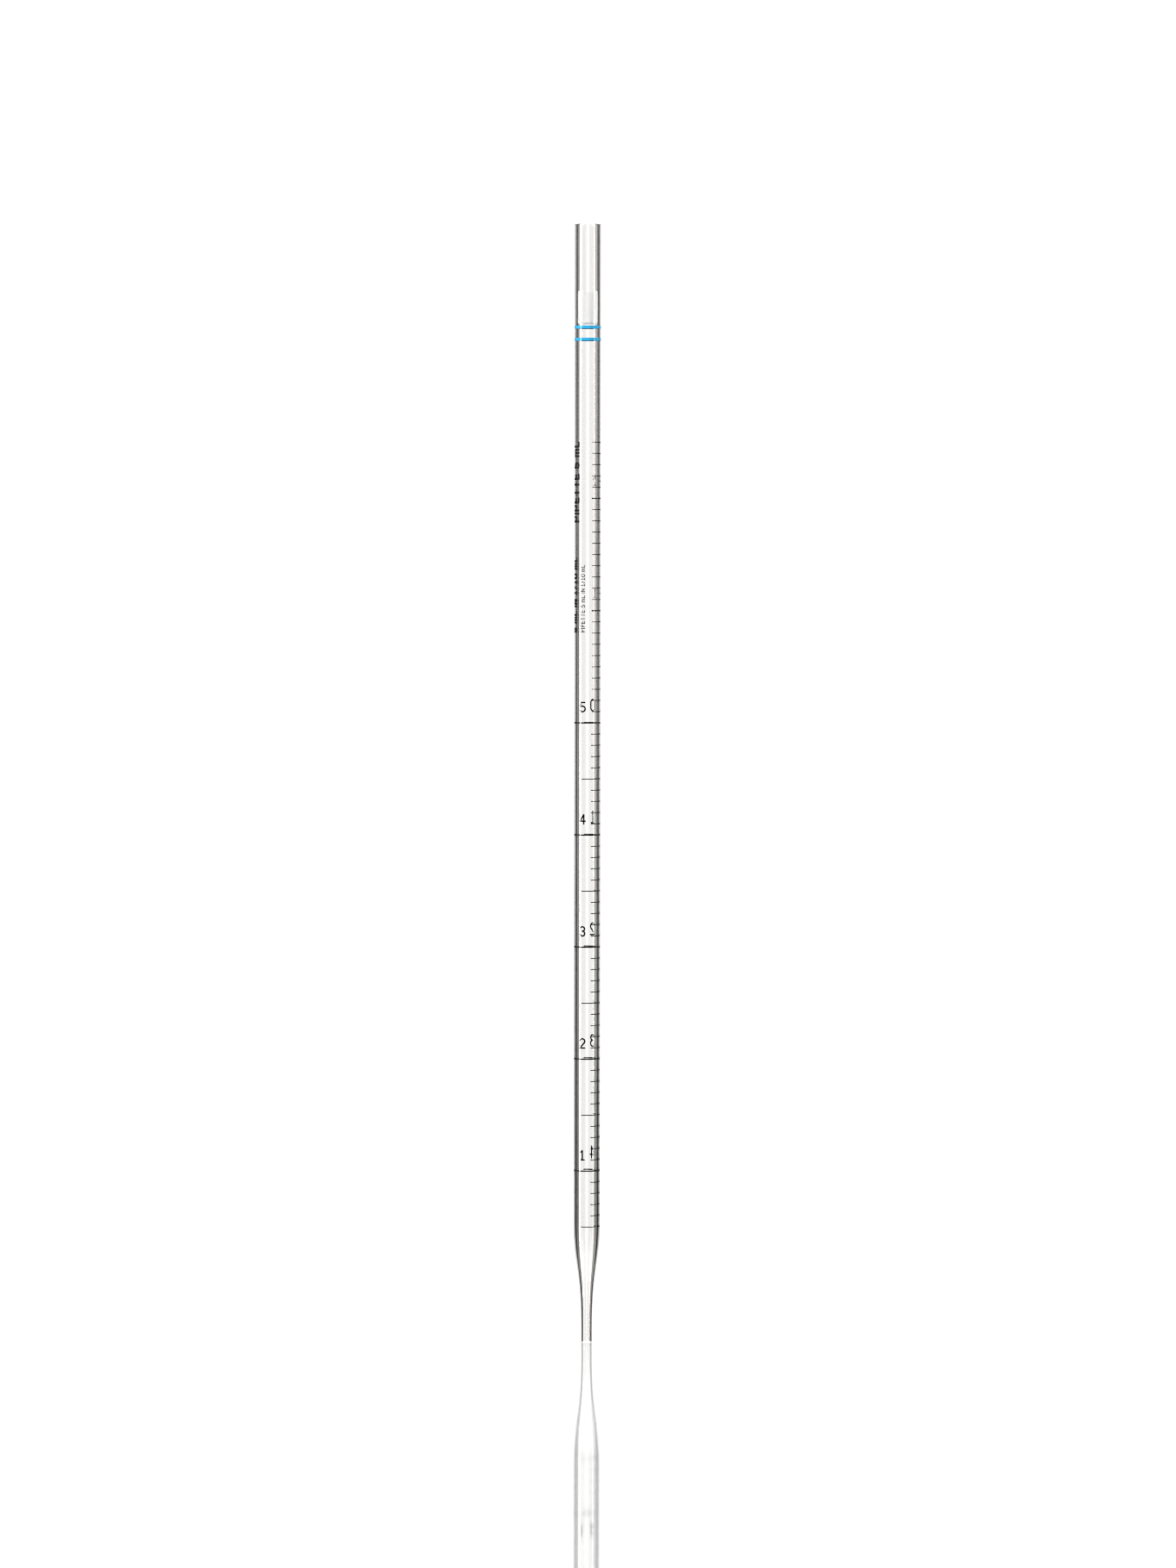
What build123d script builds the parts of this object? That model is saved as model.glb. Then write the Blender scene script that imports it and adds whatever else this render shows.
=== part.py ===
from build123d import *
import os
from math import cos, pi, radians, sin

# A 5 mL disposable serological pipette: a clear plastic tube drawn down to a jet at its lower end,
# a fibre filter plug in the bore below the mouth, two colour-code bands, and a printed scale that
# counts up on the front and down on the back.
#
# The origin is on the tube's axis at the end of the tip. +Z runs up to the mouth, and the front, where
# the scale is read, faces -Y. Angles round the tube are in degrees from the front, growing towards +X.
# Lengths are in millimetres.

# Tube
total_length = 342.0
outer_radius = 3.975
millilitre_pitch = 34.27                 # length of bore that holds one millilitre
inner_radius = (1000 / (millilitre_pitch * pi)) ** 0.5
bore_ratio = inner_radius / outer_radius  # drawing the tube down keeps this ratio
rim_round = 0.12

# Drawn tip
tip_radius = 1.618
tip_round = 0.08
taper_top = 36.6
taper_shoulder = 13.2                    # how far the wall still runs parallel inside the taper
taper_bottom = 4.1
taper_neck = 18.5

# Filter plug
plug_bottom = 311.5
plug_length = 10.05
plug_round = 0.5

# Colour-code bands
band_height = 0.85
lower_band_middle = 306.8
upper_band_middle = 310.5

# Printed scale
ink_thickness = 0.04
one_millilitre_height = 52.67            # height of the 1 mL ring above the tip
capacity = 5                             # millilitres
overfill_tenths = 25                     # divisions above the capacity ring
ring_line = 0.40
half_line = 0.27
tenth_line = 0.27
overfill_line = 0.40
ring_arc = (-104, 198)
half_arc = (-26, 144)
tenth_arc = (16.5, 112)
overfill_arc = (19, 95)
overfill_tenth_arc = (21.6, 95)

# Numerals and wording. Height is over the ink, lift and bottom are up the tube.
rising_numeral = {"height": 3.27, "stroke": 0.45, "angle": -21, "lift": 3.2}
falling_numeral = {"height": 4.05, "stroke": 0.50, "angle": 146, "lift": 3.3}
overfill_numeral = {"height": 2.85, "stroke": 0.38, "angle": 120, "lift": 3.9}
title_words = {"text": "PIPETTE 5 mL", "height": 3.35, "stroke": 0.6, "angle": -63, "bottom": 250.9}
volume_words = {"text": "5 mL IN 1/10 mL", "height": 2.75, "stroke": 0.54, "angle": -69, "bottom": 217.2}
usage_words = {
    "text": "PIPETTE 5 mL IN 1/10 mL", "height": 1.46, "stroke": 0.2, "angle": -21, "bottom": 217.4,
}
letter_gap = 0.34
word_gap = 0.40

# Each letter is drawn with one pen. Its height is 1 and it starts at x = 0.
# "line" runs between two points. "arc" has a centre, a radius, a start angle and a turn.
letter_width = {
    "0": 0.56, "1": 0.44, "2": 0.56, "3": 0.54, "4": 0.58, "5": 0.57, "-": 0.42,
    "P": 0.54, "I": 0.00, "N": 0.52, "E": 0.48, "T": 0.56, "m": 0.72, "L": 0.46, "/": 0.36, " ": 0.0,
}
letter_strokes = {
    "0": [
        ("arc", (0.28, 0.72), 0.28, 0, 180),
        ("arc", (0.28, 0.28), 0.28, 180, 180),
        ("line", (0, 0.28), (0, 0.72)),
        ("line", (0.56, 0.28), (0.56, 0.72)),
    ],
    "1": [
        ("line", (0.24, 0), (0.24, 1)),
        ("line", (0.04, 0.80), (0.24, 1)),
        ("line", (0.04, 0), (0.44, 0)),
    ],
    "2": [
        ("arc", (0.28, 0.72), 0.28, -30, 200),
        ("line", (0.522, 0.58), (0, 0)),
        ("line", (0, 0), (0.56, 0)),
    ],
    "3": [
        ("arc", (0.27, 0.76), 0.24, -90, 240),
        ("arc", (0.27, 0.26), 0.26, -150, 240),
    ],
    "4": [
        ("line", (0.43, 0), (0.43, 1)),
        ("line", (0.43, 1), (0, 0.3)),
        ("line", (0, 0.3), (0.58, 0.3)),
    ],
    "5": [
        ("arc", (0.27, 0.30), 0.30, -150, 290),
        ("line", (0.04, 0.493), (0.08, 1)),
        ("line", (0.08, 1), (0.52, 1)),
    ],
    "-": [("line", (0, 0.48), (0.42, 0.48))],
    "P": [
        ("line", (0, 0), (0, 1)),
        ("line", (0, 1), (0.28, 1)),
        ("arc", (0.28, 0.74), 0.26, -90, 180),
        ("line", (0.28, 0.48), (0, 0.48)),
    ],
    "I": [("line", (0, 0), (0, 1))],
    "N": [
        ("line", (0, 0), (0, 1)),
        ("line", (0, 1), (0.52, 0)),
        ("line", (0.52, 0), (0.52, 1)),
    ],
    "E": [
        ("line", (0, 0), (0, 1)),
        ("line", (0, 1), (0.48, 1)),
        ("line", (0, 0.52), (0.42, 0.52)),
        ("line", (0, 0), (0.48, 0)),
    ],
    "T": [("line", (0.28, 0), (0.28, 1)), ("line", (0, 1), (0.56, 1))],
    "m": [
        ("line", (0, 0), (0, 0.66)),
        ("arc", (0.18, 0.48), 0.18, 0, 180),
        ("line", (0.36, 0), (0.36, 0.48)),
        ("arc", (0.54, 0.48), 0.18, 0, 180),
        ("line", (0.72, 0), (0.72, 0.48)),
    ],
    "L": [("line", (0, 0), (0, 1)), ("line", (0, 0), (0.46, 0))],
    "/": [("line", (0, 0), (0.36, 1))],
    " ": [],
}

os.makedirs("parts", exist_ok=True)


def scale_height(millilitres):
    """Height of a scale mark above the tip."""
    return one_millilitre_height + (millilitres - 1) * millilitre_pitch


def outward(angle):
    """The direction straight out of the tube at an angle round it."""
    return (sin(radians(angle)), -cos(radians(angle)), 0)


def upright_plane(angle, height):
    """Plane through the axis, facing out at an angle, for print that stands upright."""
    tangent = (cos(radians(angle)), sin(radians(angle)), 0)
    return Plane(origin=(0, 0, height), x_dir=tangent, z_dir=outward(angle))


def lengthwise_plane(angle, height):
    """Plane through the axis, facing out at an angle, for print that reads up the tube."""
    return Plane(origin=(0, 0, height), x_dir=(0, 0, 1), z_dir=outward(angle))


def wall_line(radius_factor):
    """Half outline of the tube's wall, from the mouth down the taper to the end of the tip."""
    wide = outer_radius * radius_factor
    narrow = tip_radius * radius_factor
    parallel = Line((wide, total_length), (wide, taper_top))
    taper = Bezier(
        parallel @ 1,
        (wide, taper_top - taper_shoulder),
        (narrow, taper_bottom + taper_neck),
        (narrow, taper_bottom),
    )
    jet = Line(taper @ 1, (narrow, 0))
    return parallel @ 0, jet @ 1


def band_film(middle, width, arc=(0, 360)):
    """A film of ink round the tube, as a flat-edged sector of a thin ring."""
    start, end = arc
    with BuildSketch(Plane.XY.offset(middle - width / 2)) as film:
        if end - start == 360:
            Circle(outer_radius + ink_thickness)
            Circle(outer_radius, mode=Mode.SUBTRACT)
        else:
            with BuildLine():
                # Angles in the plane are measured from +X, a quarter turn behind the front.
                outside = CenterArc((0, 0), outer_radius + ink_thickness, start - 90, end - start)
                inside = CenterArc((0, 0), outer_radius, start - 90, end - start)
                Line(outside @ 0, inside @ 0)
                Line(outside @ 1, inside @ 1)
            make_face()
    extrude(film.sketch, amount=width)


def text_width(text):
    """Width of lettering between its outer pen lines, in letter heights."""
    gaps = sum(word_gap if letter == " " else letter_gap for letter in text[1:])
    return sum(letter_width[letter] for letter in text) + gaps


def pen_strokes(text, left, bottom, scale, pen):
    """Draw lettering with a round pen from its lower left corner."""
    x = left
    for index, letter in enumerate(text):
        if index:
            x += scale * (word_gap if letter == " " else letter_gap)
        for kind, first, *rest in letter_strokes[letter]:
            start = (x + scale * first[0], bottom + scale * first[1])
            if kind == "line":
                end = (x + scale * rest[0][0], bottom + scale * rest[0][1])
                middle = ((start[0] + end[0]) / 2, (start[1] + end[1]) / 2)
                SlotCenterPoint(middle, end, pen)
            else:
                radius, first_angle, turn = rest
                curve = CenterArc(start, scale * radius, first_angle, turn, mode=Mode.PRIVATE)
                SlotArc(curve, pen)
        x += scale * letter_width[letter]


def print_film(plane, text, style, centred):
    """Lettering as a film of ink that follows the tube's wall."""
    scale = style["height"] - style["stroke"]
    width = scale * text_width(text)
    left = -width / 2 if centred else style["stroke"] / 2
    bottom = style["stroke"] / 2 if centred else -scale / 2
    with BuildSketch() as letters:
        pen_strokes(text, left, bottom, scale, style["stroke"])
    with BuildSketch(plane) as placed:
        add(letters.sketch)
    extrude(placed.sketch, amount=outer_radius + 1)
    add(print_limit.part, mode=Mode.INTERSECT)
    add(tube_space.part, mode=Mode.SUBTRACT)


def numeral_film(text, millilitres, style):
    """A numeral that stands upright a little above its ring."""
    plane = upright_plane(style["angle"], scale_height(millilitres) + style["lift"])
    print_film(plane, text, style, centred=True)


def words_film(words):
    """A line of lettering that reads up the tube."""
    plane = lengthwise_plane(words["angle"], words["bottom"])
    print_film(plane, words["text"], words, centred=False)


def save(piece, name):
    """Label a finished piece and write it as one file."""
    piece.part.label = name
    export_step(piece.part, f"parts/{name}.step")


# Tube with its drawn tip, in one piece

with BuildPart() as barrel:
    with BuildSketch(Plane.XZ):
        with BuildLine():
            outer_mouth, outer_tip = wall_line(1)
            inner_mouth, inner_tip = wall_line(bore_ratio)
            Line(outer_mouth, inner_mouth)
            Line(outer_tip, inner_tip)
        make_face()
    revolve(axis=Axis.Z)
    circles = barrel.edges().filter_by(GeomType.CIRCLE).group_by(Axis.Z)
    fillet(circles[-1], rim_round)
    fillet(circles[0], tip_round)
save(barrel, "barrel")

# Fibre plug, pressed into the bore

with BuildPart() as filter_plug:
    with BuildSketch(Plane.XY.offset(plug_bottom)):
        Circle(inner_radius)
    extrude(amount=plug_length)
    fillet(filter_plug.edges().filter_by(GeomType.CIRCLE), plug_round)
save(filter_plug, "filter_plug")

# Colour-code bands, printed right round the tube

with BuildPart() as lower_colour_band:
    band_film(lower_band_middle, band_height)
save(lower_colour_band, "lower_colour_band")

with BuildPart() as upper_colour_band:
    band_film(upper_band_middle, band_height)
save(upper_colour_band, "upper_colour_band")

# The tube's outside and the ink's outside, between which all lettering is cut

with BuildPart() as tube_space:
    with BuildSketch():
        Circle(outer_radius)
    extrude(amount=total_length)

with BuildPart() as print_limit:
    with BuildSketch():
        Circle(outer_radius + ink_thickness)
    extrude(amount=total_length)

# Scale marks: a ring at each millilitre, a shorter line half way, and short ones at each tenth

for millilitre in range(1, capacity + 1):
    with BuildPart() as ring_mark:
        band_film(scale_height(millilitre), ring_line, ring_arc)
    save(ring_mark, f"ring_mark_{millilitre}")

    with BuildPart() as half_mark:
        band_film(scale_height(millilitre - 0.5), half_line, half_arc)
    save(half_mark, f"half_mark_{millilitre}")

    # The tube's first half millilitre is the tip, where nothing is printed.
    tenths = range(6, 10) if millilitre == 1 else [1, 2, 3, 4, 6, 7, 8, 9]
    with BuildPart() as tenth_marks:
        for tenth in tenths:
            band_film(scale_height(millilitre - 1 + tenth / 10), tenth_line, tenth_arc)
    save(tenth_marks, f"tenth_marks_{millilitre}")

# Overfill marks above the capacity ring

for millilitre in range(1, overfill_tenths // 10 + 1):
    with BuildPart() as overfill_mark:
        band_film(scale_height(capacity + millilitre), overfill_line, overfill_arc)
    save(overfill_mark, f"overfill_mark_{millilitre}")

for millilitre in range(overfill_tenths // 10 + 1):
    first = millilitre * 10 + 1
    last = min(first + 8, overfill_tenths)
    with BuildPart() as overfill_tenths_run:
        for tenth in range(first, last + 1):
            band_film(scale_height(capacity + tenth / 10), tenth_line, overfill_tenth_arc)
    save(overfill_tenths_run, f"overfill_tenth_marks_{millilitre + 1}")

# Numerals: the volume drawn up on the front, the volume let out on the back

for millilitre in range(1, capacity + 1):
    with BuildPart() as rising:
        numeral_film(str(millilitre), millilitre, rising_numeral)
    save(rising, f"rising_numeral_{millilitre}")

    with BuildPart() as falling:
        numeral_film(str(capacity - millilitre), millilitre, falling_numeral)
    save(falling, f"falling_numeral_{capacity - millilitre}")

for millilitre in range(1, overfill_tenths // 10 + 1):
    with BuildPart() as overfill:
        numeral_film(f"-{millilitre}", capacity + millilitre, overfill_numeral)
    save(overfill, f"overfill_numeral_{millilitre}")

# Generic lettering along the front left

lettering_names = {"title_print": title_words, "volume_print": volume_words, "usage_print": usage_words}
for name, words in lettering_names.items():
    with BuildPart() as lettering:
        words_film(words)
    save(lettering, name)
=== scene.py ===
import math

import bmesh
import bpy
from mathutils import Matrix, Vector


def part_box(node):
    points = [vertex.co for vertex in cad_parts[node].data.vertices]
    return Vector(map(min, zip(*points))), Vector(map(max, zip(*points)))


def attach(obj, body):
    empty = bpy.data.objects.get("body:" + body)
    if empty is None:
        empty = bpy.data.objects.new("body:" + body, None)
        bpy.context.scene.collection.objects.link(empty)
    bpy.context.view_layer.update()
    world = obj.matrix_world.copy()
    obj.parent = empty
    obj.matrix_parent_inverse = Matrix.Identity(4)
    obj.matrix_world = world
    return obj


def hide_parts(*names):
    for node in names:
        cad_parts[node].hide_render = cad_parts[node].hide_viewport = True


# A 5 mL serological pipette in a plain studio. Lengths are in metres, the frame is the CAD's:
# the tip ends at the origin, +Z runs up to the mouth, and the front faces -Y.

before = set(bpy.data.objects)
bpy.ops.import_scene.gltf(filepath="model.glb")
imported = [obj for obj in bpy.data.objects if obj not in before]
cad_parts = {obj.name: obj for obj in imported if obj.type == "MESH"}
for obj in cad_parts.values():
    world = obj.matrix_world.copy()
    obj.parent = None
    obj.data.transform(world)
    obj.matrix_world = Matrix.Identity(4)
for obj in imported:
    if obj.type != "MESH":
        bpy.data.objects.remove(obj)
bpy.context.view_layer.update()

MM = 0.001
MILLILITRE = 1e-6

# Sizes from the frame, and the driving sizes of the tube's outline that part.py also has
barrel_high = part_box("barrel")[1]
LENGTH = barrel_high.z
OUTER_RADIUS = barrel_high.x
plug_low, plug_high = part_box("filter_plug")
MILLILITRE_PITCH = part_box("ring_mark_2")[0].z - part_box("ring_mark_1")[0].z
INNER_RADIUS = math.sqrt(MILLILITRE / (math.pi * MILLILITRE_PITCH))
BORE_RATIO = INNER_RADIUS / OUTER_RADIUS
TIP_RADIUS = 1.618 * MM
TAPER_TOP = 36.6 * MM
TAPER_SHOULDER = 13.2 * MM
TAPER_BOTTOM = 4.1 * MM
TAPER_NECK = 18.5 * MM
RIM_ROUND = 0.12 * MM
TIP_ROUND = 0.08 * MM

TUBE_SEGMENTS = 160
SHARP_ANGLE = math.radians(40)

# Ink films. The CAD's lie on the wall, and these are set a little into it.
CAD_INK_THICKNESS = 0.04 * MM
INK_SUNK = 0.02 * MM
INK_PROUD = 0.03 * MM
SAME_POINT = 0.0005 * MM

# Fibre plug
PLUG_ROWS = 36
PLUG_SEGMENTS = 96
PLUG_END_STEPS = 9
PLUG_GAP = 0.01 * MM
PLUG_PINCH = 0.25 * MM
PLUG_PINCH_REACH = 0.2 * MM
PLUG_FLUTE = 0.01 * MM
PLUG_DENT = 0.12 * MM

# Studio
FLOOR_RADIUS = 0.75
FLOOR_GAP = 0.02 * MM
LIGHT_DISTANCE = 1.5


# ---------------------------------------------------------------- materials

def new_material(name):
    """A material with an empty node tree but for its output and Principled shader."""
    material = bpy.data.materials.new(name)
    material.use_nodes = True
    tree = material.node_tree
    return material, tree, tree.nodes["Principled BSDF"]


def object_coordinates(tree, scale):
    """Object coordinates stretched by a scale along each axis."""
    coordinates = tree.nodes.new("ShaderNodeTexCoord")
    mapping = tree.nodes.new("ShaderNodeMapping")
    mapping.inputs["Scale"].default_value = scale
    tree.links.new(coordinates.outputs["Object"], mapping.inputs["Vector"])
    return mapping.outputs["Vector"]


def noise(tree, vector, scale, detail=3.0):
    """A noise texture's factor."""
    texture = tree.nodes.new("ShaderNodeTexNoise")
    texture.inputs["Scale"].default_value = scale
    texture.inputs["Detail"].default_value = detail
    tree.links.new(vector, texture.inputs["Vector"])
    return texture.outputs["Fac"]


def colour_ramp(tree, factor, low, high, start=0.3, end=0.7):
    """Blend between two colours as the factor goes from start to end."""
    ramp = tree.nodes.new("ShaderNodeValToRGB")
    ramp.color_ramp.elements[0].position = start
    ramp.color_ramp.elements[0].color = (*low, 1)
    ramp.color_ramp.elements[1].position = end
    ramp.color_ramp.elements[1].color = (*high, 1)
    tree.links.new(factor, ramp.inputs["Fac"])
    return ramp.outputs["Color"]


def value_range(tree, factor, low, high):
    """Map a factor from 0..1 to low..high."""
    mapped = tree.nodes.new("ShaderNodeMapRange")
    mapped.inputs["To Min"].default_value = low
    mapped.inputs["To Max"].default_value = high
    tree.links.new(factor, mapped.inputs["Value"])
    return mapped.outputs["Result"]


def bump(tree, shader, height, strength, distance):
    """Put a height on a shader's normal."""
    node = tree.nodes.new("ShaderNodeBump")
    node.inputs["Strength"].default_value = strength
    node.inputs["Distance"].default_value = distance
    tree.links.new(height, node.inputs["Height"])
    tree.links.new(node.outputs["Normal"], shader.inputs["Normal"])


def clear_plastic():
    """Clear polystyrene with the faint lengthwise draw lines of an extruded tube."""
    material, tree, shader = new_material("clear_polystyrene")
    shader.inputs["IOR"].default_value = 1.59
    shader.inputs["Transmission Weight"].default_value = 1.0
    streaks = noise(tree, object_coordinates(tree, (1, 1, 0.004)), 2600)
    tint = colour_ramp(tree, streaks, (0.985, 0.983, 0.978), (0.998, 0.998, 0.997))
    tree.links.new(tint, shader.inputs["Base Color"])
    tree.links.new(value_range(tree, streaks, 0.0, 0.03), shader.inputs["Roughness"])
    bump(tree, shader, streaks, 0.05, 0.01 * MM)
    return material


def ink(name, dark, light):
    """Screen-printed ink: glossy, with a fine mottle of thinner colour."""
    material, tree, shader = new_material(name)
    mottle = noise(tree, object_coordinates(tree, (1, 1, 1)), 5000, 4.0)
    tone = colour_ramp(tree, mottle, dark, light, start=0.42, end=0.72)
    tree.links.new(tone, shader.inputs["Base Color"])
    tree.links.new(value_range(tree, mottle, 0.02, 0.07), shader.inputs["Roughness"])
    shader.inputs["Specular IOR Level"].default_value = 0.3
    bump(tree, shader, mottle, 0.02, 0.003 * MM)
    return material


def fibre():
    """White polyester fibre, brighter on the strands and greyer between them: a random tone, with painted
    shade in the hollows between strands.
    """
    material, tree, shader = new_material("plug_fibre")
    strands = noise(tree, object_coordinates(tree, (1, 1, 0.25)), 3500, 6.0)
    # The colour follows the bump's height, so it is greyer where the bump sinks between strands: painted
    # shade in those hollows, on top of the fibre's random tone.
    tone = colour_ramp(tree, strands, (0.95, 0.95, 0.945), (0.995, 0.995, 0.99))
    tree.links.new(tone, shader.inputs["Base Color"])
    shader.inputs["Roughness"].default_value = 0.9
    shader.inputs["Sheen Weight"].default_value = 0.3
    bump(tree, shader, strands, 0.5, 0.1 * MM)
    return material


# ---------------------------------------------------------------- meshes

def finished(name, mesh_maker, material, slot, *replaced):
    """Turn a bmesh into a piece that stands for CAD nodes, smooth but for its sharp corners."""
    for face in mesh_maker.faces:
        face.smooth = True
    for edge in mesh_maker.edges:
        edge.smooth = edge.calc_face_angle(0) < SHARP_ANGLE
    mesh = bpy.data.meshes.new(name)
    mesh_maker.to_mesh(mesh)
    mesh_maker.free()
    mesh.materials.append(material)
    piece = bpy.data.objects.new(name, mesh)
    bpy.context.scene.collection.objects.link(piece)
    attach(piece, "root")
    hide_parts(*replaced)
    return piece


def bezier(points, t):
    """A point on a cubic curve."""
    s = 1 - t
    weights = (s ** 3, 3 * s * s * t, 3 * s * t * t, t ** 3)
    return tuple(sum(w * p[axis] for w, p in zip(weights, points)) for axis in (0, 1))


def wall_line(factor, straight_steps=24, steps=48):
    """Radius and height down the tube's wall, from the mouth to the tip, between the rounded ends.

    The first and last rings lie close to the rounded ends, so that their smooth shading stays there."""
    wide = OUTER_RADIUS * factor
    narrow = TIP_RADIUS * factor
    control = (
        (wide, TAPER_TOP),
        (wide, TAPER_TOP - TAPER_SHOULDER),
        (narrow, TAPER_BOTTOM + TAPER_NECK),
        (narrow, TAPER_BOTTOM),
    )
    top = LENGTH - 3 * RIM_ROUND
    straight = [(wide, top + (TAPER_TOP - top) * i / straight_steps) for i in range(straight_steps)]
    return straight + [bezier(control, i / steps) for i in range(steps + 1)] + [(narrow, 3 * TIP_ROUND)]


def round_corner(centre, radius, start, turn, steps=4):
    """Points on a quarter circle."""
    angles = [math.radians(start + turn * i / steps) for i in range(steps + 1)]
    return [(centre[0] + radius * math.cos(a), centre[1] + radius * math.sin(a)) for a in angles]


def barrel_outline():
    """The closed section of the tube's wall, as (radius, height) points."""
    outer = wall_line(1)
    inner = wall_line(BORE_RATIO)
    tip_bore = TIP_RADIUS * BORE_RATIO
    outline = round_corner((OUTER_RADIUS - RIM_ROUND, LENGTH - RIM_ROUND), RIM_ROUND, 90, -90)
    outline += outer
    outline += round_corner((TIP_RADIUS - TIP_ROUND, TIP_ROUND), TIP_ROUND, 0, -90)
    outline += round_corner((tip_bore + TIP_ROUND, TIP_ROUND), TIP_ROUND, -90, -90)
    outline += reversed(inner)
    outline += round_corner((INNER_RADIUS + RIM_ROUND, LENGTH - RIM_ROUND), RIM_ROUND, 180, -90)
    return outline


def ring_angles(segments):
    """Evenly spaced angles round a full turn."""
    return [2 * math.pi * i / segments for i in range(segments)]


def revolve(outline, segments):
    """Spin a closed section round the Z axis."""
    mesh = bmesh.new()
    rings = []
    for radius, height in outline:
        points = [(radius * math.cos(a), radius * math.sin(a), height) for a in ring_angles(segments)]
        rings.append([mesh.verts.new(point) for point in points])
    for ring, following in zip(rings, rings[1:] + rings[:1]):
        for i in range(segments):
            j = (i + 1) % segments
            mesh.faces.new((ring[i], following[i], following[j], ring[j]))
    bmesh.ops.recalc_face_normals(mesh, faces=mesh.faces)
    return mesh


def printed(name, material, slot):
    """A CAD ink film as a piece of its own, set a little into the wall so that no air lies between them."""
    mesh = bmesh.new()
    mesh.from_mesh(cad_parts[name].data)
    bmesh.ops.remove_doubles(mesh, verts=mesh.verts, dist=SAME_POINT)
    middle = OUTER_RADIUS + CAD_INK_THICKNESS / 2
    for vertex in mesh.verts:
        radius = math.hypot(vertex.co.x, vertex.co.y)
        wanted = OUTER_RADIUS + (INK_PROUD if radius > middle else -INK_SUNK)
        vertex.co.x *= wanted / radius
        vertex.co.y *= wanted / radius
    return finished(f"{name}_ink", mesh, material, slot, name)


def bridge(mesh, lower, upper):
    """Join two rings of equal count with a band of faces."""
    for i in range(len(lower)):
        j = (i + 1) % len(lower)
        mesh.faces.new((lower[i], lower[j], upper[j], upper[i]))


def plug_side_ring(mesh, t, height):
    """One ring of the plug's side, pinched near both ends and lightly fluted."""
    edge = min(t, 1 - t) * height
    pinch = PLUG_PINCH * math.exp(-edge / PLUG_PINCH_REACH)
    ring = []
    for angle in ring_angles(PLUG_SEGMENTS):
        flute = PLUG_FLUTE * (1 + math.sin(9 * angle + 5 * t) * math.sin(3 * angle - 2 * t))
        radius = INNER_RADIUS - PLUG_GAP - pinch - flute
        point = (radius * math.cos(angle), radius * math.sin(angle), plug_low.z + t * height)
        ring.append(mesh.verts.new(point))
    return ring


def close_plug_end(mesh, ring, inward):
    """Close an end of the plug with rings that dip unevenly towards its middle."""
    last = ring
    for step in range(1, PLUG_END_STEPS):
        share = 1 - step / PLUG_END_STEPS
        inner = []
        for angle, vertex in zip(ring_angles(PLUG_SEGMENTS), ring):
            dent = inward * PLUG_DENT * (1 + math.sin(4 * angle + 7 * share) * share)
            x, y, z = vertex.co
            inner.append(mesh.verts.new((x * share, y * share, z + dent * (1 - share))))
        bridge(mesh, last, inner)
        last = inner
    mesh.faces.new(last)


def plug_mesh():
    """The fibre plug: a round pad with softly uneven ends and fluted sides."""
    mesh = bmesh.new()
    height = plug_high.z - plug_low.z
    rings = [plug_side_ring(mesh, row / PLUG_ROWS, height) for row in range(PLUG_ROWS + 1)]
    for lower, upper in zip(rings, rings[1:]):
        bridge(mesh, lower, upper)
    close_plug_end(mesh, rings[0], 1)
    close_plug_end(mesh, rings[-1], -1)
    bmesh.ops.recalc_face_normals(mesh, faces=mesh.faces)
    return mesh


clear = clear_plastic()
black = ink("black_ink", (0.0015, 0.0015, 0.0015), (0.005, 0.005, 0.0055))
blue = ink("blue_ink", (0.010, 0.20, 0.37), (0.022, 0.245, 0.44))
white_fibre = fibre()

finished("barrel_tube", revolve(barrel_outline(), TUBE_SEGMENTS), clear, "clear_polystyrene", "barrel")
plug = finished("filter_plug_fibre", plug_mesh(), white_fibre, "plug_fibre", "filter_plug")
for node in sorted(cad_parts):
    if node.endswith("colour_band"):
        printed(node, blue, "blue_ink")
    elif node not in ("barrel", "filter_plug"):
        printed(node, black, "black_ink")


# ---------------------------------------------------------------- studio

def floor():
    """A pale polished disc just under the tip, seen only directly and by diffuse light."""
    material, tree, shader = new_material("studio_floor")
    patches = noise(tree, object_coordinates(tree, (1, 1, 1)), 3.0)
    tone = colour_ramp(tree, patches, (0.385, 0.388, 0.392), (0.400, 0.403, 0.408))
    tree.links.new(tone, shader.inputs["Base Color"])
    shader.inputs["Roughness"].default_value = 0.6
    gloss = tree.nodes.new("ShaderNodeBsdfGlossy")
    gloss.inputs["Roughness"].default_value = 0.035
    gloss.inputs["Color"].default_value = (1, 1, 1, 1)
    mix = tree.nodes.new("ShaderNodeMixShader")
    mix.inputs["Fac"].default_value = 0.62
    tree.links.new(shader.outputs["BSDF"], mix.inputs[1])
    tree.links.new(gloss.outputs["BSDF"], mix.inputs[2])
    tree.links.new(mix.outputs["Shader"], tree.nodes["Material Output"].inputs["Surface"])
    mesh = bmesh.new()
    bmesh.ops.create_circle(mesh, cap_ends=True, segments=128, radius=FLOOR_RADIUS)
    data = bpy.data.meshes.new("studio_floor")
    mesh.to_mesh(data)
    mesh.free()
    data.materials.append(material)
    disc = bpy.data.objects.new("studio_floor", data)
    disc.location.z = -FLOOR_GAP
    disc.visible_transmission = False
    disc.visible_glossy = False
    bpy.context.scene.collection.objects.link(disc)


def grey_ramp(tree, factor, stops):
    """Grey by angle: stops are (degrees, grey), and the factor runs from 0 to 1 over the stops' span."""
    ramp = tree.nodes.new("ShaderNodeValToRGB")
    tree.links.new(factor, ramp.inputs["Fac"])
    first, last = stops[0][0], stops[-1][0]
    elements = ramp.color_ramp.elements
    while len(elements) < len(stops):
        elements.new(0.5)
    for element, (angle, grey) in zip(elements, stops):
        element.position = (angle - first) / (last - first)
        element.color = (*(grey * share for share in ROOM_TINT), 1)
    return ramp.outputs["Color"]


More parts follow.
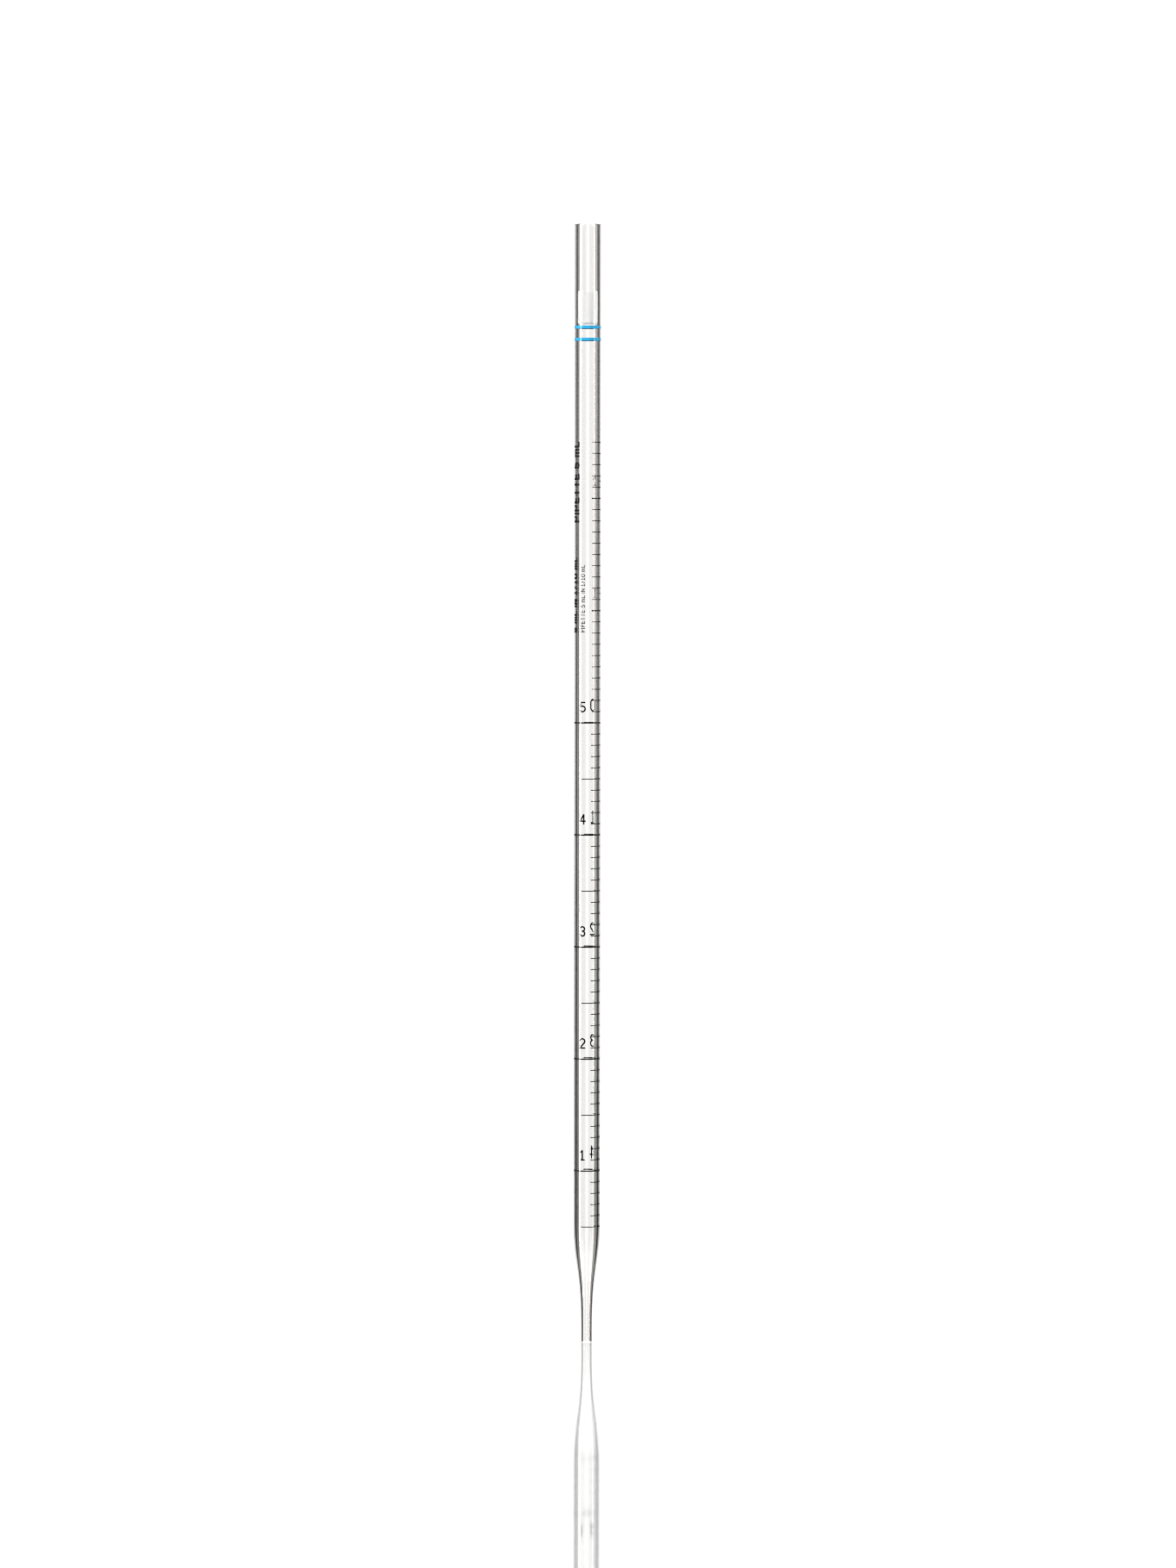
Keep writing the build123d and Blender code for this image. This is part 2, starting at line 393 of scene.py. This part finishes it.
def maths(tree, operation, first, second=None, third=None):
    """A maths node fed by sockets or numbers."""
    node = tree.nodes.new("ShaderNodeMath")
    node.operation = operation
    for socket, value in zip(node.inputs, (first, second, third)):
        if isinstance(value, (int, float)):
            socket.default_value = value
        elif value is not None:
            tree.links.new(value, socket)
    return node.outputs[0]


def colour_mix(tree, factor, first, second):
    """Blend two colours, each a socket or a grey."""
    node = tree.nodes.new("ShaderNodeMix")
    node.data_type = "RGBA"
    tree.links.new(factor, node.inputs["Factor"])
    for socket, value in zip([s for s in node.inputs if s.type == "RGBA"], (first, second)):
        if isinstance(value, (int, float)):
            socket.default_value = (value, value, value, 1)
        else:
            tree.links.new(value, socket)
    return [s for s in node.outputs if s.type == "RGBA"][0]


# The room's greys. Each list is one panel and the dark gaps beside it, by degrees round from the
# direction that the panel stands in. Level rays meet four panels, at the front, the back and the sides,
# which narrow towards their feet, and steep rays meet eight. A view that looks into a gap shows the tube
# dark. The ground below has one even tone, and above the panels the room is one white dome.
ROOM_TINT = (1, 0.985, 0.965)
ROOM_WHITE = 1.05
DOME_WHITE = 2.15
LEVEL_PANELS = [
    (-45, 0.30), (-40, 0.02), (-33, 0.02), (-30, 0.50), (-26, 0.02), (-20, 0.02), (-16, ROOM_WHITE),
    (10, ROOM_WHITE), (14, 0.40), (20, 0.60), (26, 0.02), (40, 0.02), (45, 0.30),
]
FOOT_PANELS = [
    (-45, 0.02), (-33, 0.02), (-30, 0.10), (-26, 0.02), (-20, 0.02), (-16, 0.30), (-12, ROOM_WHITE),
    (8, ROOM_WHITE), (14, 0.20), (20, 0.30), (26, 0.02), (45, 0.02),
]
STEEP_PANELS = [(-22.5, 0.02), (-15, 0.04), (-10, ROOM_WHITE), (10, ROOM_WHITE), (15, 0.04), (22.5, 0.02)]
FOOT_LIMIT = (0.5, 4.8)
LEVEL_LIMIT = (7, 11)
GROUND_LIMIT = (33, 37)
GROUND_WHITE = 0.85
DOME_LIMIT = (9, 13)


def past(tree, height, limit):
    """0 to 1 as a direction's height passes from one angle above the level to another."""
    node = tree.nodes.new("ShaderNodeMapRange")
    node.inputs["From Min"].default_value = math.sin(math.radians(limit[0]))
    node.inputs["From Max"].default_value = math.sin(math.radians(limit[1]))
    tree.links.new(height, node.inputs["Value"])
    return node.outputs["Result"]


def surroundings():
    """A white room with dark gaps between its panels, which the clear wall shows as dark edges.

    The camera sees plain white, whatever the room is like behind the pipette."""
    world = bpy.data.worlds.new("studio")
    bpy.context.scene.world = world
    world.use_nodes = True
    tree = world.node_tree
    split = tree.nodes.new("ShaderNodeSeparateXYZ")
    coordinates = tree.nodes.new("ShaderNodeTexCoord")
    tree.links.new(coordinates.outputs["Generated"], split.inputs["Vector"])
    x, y, z = split.outputs
    turns = maths(tree, "MULTIPLY", maths(tree, "ARCTAN2", x, y), 0.5 / math.pi)
    fall = maths(tree, "MULTIPLY", z, -1)
    across_four = maths(tree, "FRACT", maths(tree, "MULTIPLY_ADD", turns, 4, 4.5))
    across_eight = maths(tree, "FRACT", maths(tree, "MULTIPLY_ADD", turns, 8, 8.5))
    level = grey_ramp(tree, across_four, LEVEL_PANELS)
    foot = grey_ramp(tree, across_four, FOOT_PANELS)
    steep = grey_ramp(tree, across_eight, STEEP_PANELS)
    low_walls = colour_mix(tree, past(tree, fall, FOOT_LIMIT), level, foot)
    walls = colour_mix(tree, past(tree, fall, LEVEL_LIMIT), low_walls, steep)
    down_to_ground = colour_mix(tree, past(tree, fall, GROUND_LIMIT), walls, GROUND_WHITE)
    room = colour_mix(tree, past(tree, z, DOME_LIMIT), down_to_ground, DOME_WHITE)
    path = tree.nodes.new("ShaderNodeLightPath")
    seen = colour_mix(tree, path.outputs["Is Camera Ray"], room, ROOM_WHITE)
    tree.links.new(seen, tree.nodes["Background"].inputs["Color"])


def area_light(name, azimuth, elevation, width, height, radiance):
    """A soft light aimed at the pipette's middle, from an azimuth round the front.

    The camera doesn't see it, and neither do rays that go through the clear wall."""
    data = bpy.data.lights.new(name, "AREA")
    data.shape = "RECTANGLE"
    data.size = width
    data.size_y = height
    data.energy = radiance * math.pi * width * height
    light = bpy.data.objects.new(name, data)
    turn, lift = math.radians(azimuth), math.radians(elevation)
    direction = Vector((math.sin(turn) * math.cos(lift), -math.cos(turn) * math.cos(lift), math.sin(lift)))
    light.location = direction * LIGHT_DISTANCE + Vector((0, 0, LENGTH / 2))
    light.rotation_euler = direction.to_track_quat("Z", "Y").to_euler()
    light.visible_camera = False
    light.visible_transmission = False
    bpy.context.scene.collection.objects.link(light)


def camera():
    """A long lens a little above the middle of the pipette, straight in front of it, and leaning a hair."""
    data = bpy.data.cameras.new("camera")
    data.sensor_width = 36
    data.lens = 168.5
    data.clip_end = 50
    holder = bpy.data.objects.new("camera", data)
    distance, elevation = 2.245, math.radians(1.6)
    sideways = 0.24 * MM
    aim = Vector((sideways, 0, LENGTH / 2))
    holder.location = aim + distance * Vector((0, -math.cos(elevation), math.sin(elevation)))
    lean = math.radians(0.07)
    look = (holder.location - aim).to_track_quat("Z", "Y").to_matrix().to_4x4()
    holder.matrix_world = Matrix.Translation(holder.location) @ look @ Matrix.Rotation(lean, 4, "Z")
    bpy.context.scene.collection.objects.link(holder)
    bpy.context.scene.camera = holder


floor()
surroundings()
area_light("key", azimuth=-50, elevation=42, width=0.8, height=0.8, radiance=1.5)
area_light("strip_left", azimuth=-63, elevation=0, width=0.38, height=1.6, radiance=18)
area_light("strip_right", azimuth=61, elevation=0, width=0.15, height=1.6, radiance=15)
camera()

scene = bpy.context.scene
scene.view_settings.view_transform = "Standard"
scene.cycles.max_bounces = 24
scene.cycles.transmission_bounces = 20
scene.cycles.glossy_bounces = 8
scene.cycles.filter_width = 1.1
